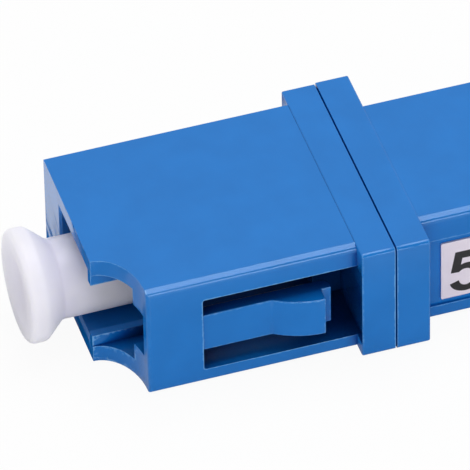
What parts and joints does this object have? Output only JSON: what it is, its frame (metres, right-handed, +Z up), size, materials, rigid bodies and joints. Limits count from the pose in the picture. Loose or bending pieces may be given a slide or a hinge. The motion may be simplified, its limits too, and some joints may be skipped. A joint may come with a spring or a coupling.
{
  "type": "fibre optic attenuator",
  "caption": "Blue panel-mount fibre optic attenuator: female port at each end, central flange, sprung panel latches, value label and white dust plugs.",
  "frame": {"origin": "where the fibre axis crosses the flange's front face, which seats on the panel", "axes": "+X along the fibre from the front port to the rear port, +Z up with the wide faces level, -Y towards the key side with the keyways and label"},
  "size_m": [0.0388, 0.0126, 0.0066],
  "materials": {
    "blue_plastic": "satin gloss injection moulding",
    "holder_plastic": "moulded, matte",
    "zirconia": "ground and polished",
    "fibre_glass": "polished ends",
    "collar_steel": "turned",
    "plug_white": "soft satin moulding",
    "label_paper": "matte printed sticker"
  },
  "bodies": {
    "shell": {"front_housing": "blue_plastic", "rear_housing": "blue_plastic", "front_sleeve_holder": "holder_plastic", "rear_sleeve_holder": "holder_plastic", "front_split_sleeve": "zirconia", "rear_split_sleeve": "zirconia", "attenuator_ferrule": "zirconia", "doped_fibre": "fibre_glass", "ferrule_collar": "collar_steel", "value_label": "label_paper"},
    "key_latch": {"key_side_latch": "blue_plastic"},
    "back_latch": {"back_side_latch": "blue_plastic"},
    "front_plug": {"front_dust_plug": "plug_white"},
    "rear_plug": {"rear_dust_plug": "plug_white"}
  },
  "joints": [
    {"name": "key_latch_flex", "type": "hinge", "parent": "shell", "child": "key_latch", "pos_m": [-0.00771, -0.00502, -0.00024], "axis": [0, 0, 1], "range_deg": [0, 7], "stiffness_Nm_per_rad": 0.02},
    {"name": "back_latch_flex", "type": "hinge", "parent": "shell", "child": "back_latch", "pos_m": [-0.00771, 0.00411, -0.00024], "axis": [0, 0, -1], "range_deg": [0, 7], "stiffness_Nm_per_rad": 0.02},
    {"name": "front_plug_pull", "type": "slide", "parent": "shell", "child": "front_plug", "axis": [-1, 0, 0], "range_m": [0, 0.012]},
    {"name": "rear_plug_pull", "type": "slide", "parent": "shell", "child": "rear_plug", "axis": [1, 0, 0], "range_m": [0, 0.012]}
  ]
}
